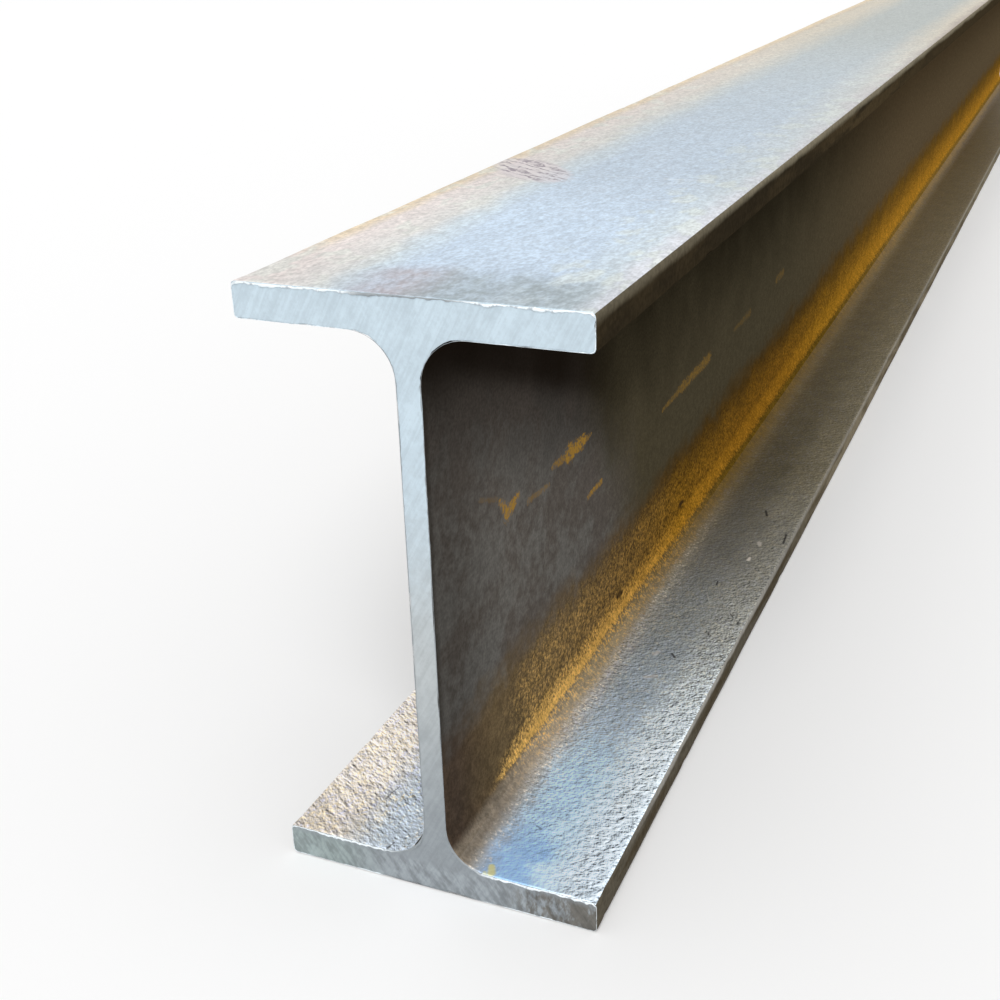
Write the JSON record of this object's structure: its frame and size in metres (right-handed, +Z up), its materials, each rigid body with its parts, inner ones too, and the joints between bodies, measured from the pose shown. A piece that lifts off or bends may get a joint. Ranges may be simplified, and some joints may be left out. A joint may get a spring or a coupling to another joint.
{
  "type": "steel i-beam",
  "caption": "Length of hot rolled steel I beam with parallel flanges and root fillets, sawn square at both ends; carries load across a span or stands as a short post.",
  "frame": {"origin": "on the underside of the lower flange, under the web and halfway along the beam", "axes": "+X along the beam, away from the end that the picture shows, +Y across the flanges, +Z up the web"},
  "size_m": [1, 0.055, 0.1],
  "materials": {
    "mill_steel": "hot rolled mill scale, dark brown-grey on the web and silvery on the flanges, rusted along the lower root, with bright sawn ends"
  },
  "bodies": {
    "root": {"i_beam": "mill_steel"}
  },
  "joints": []
}
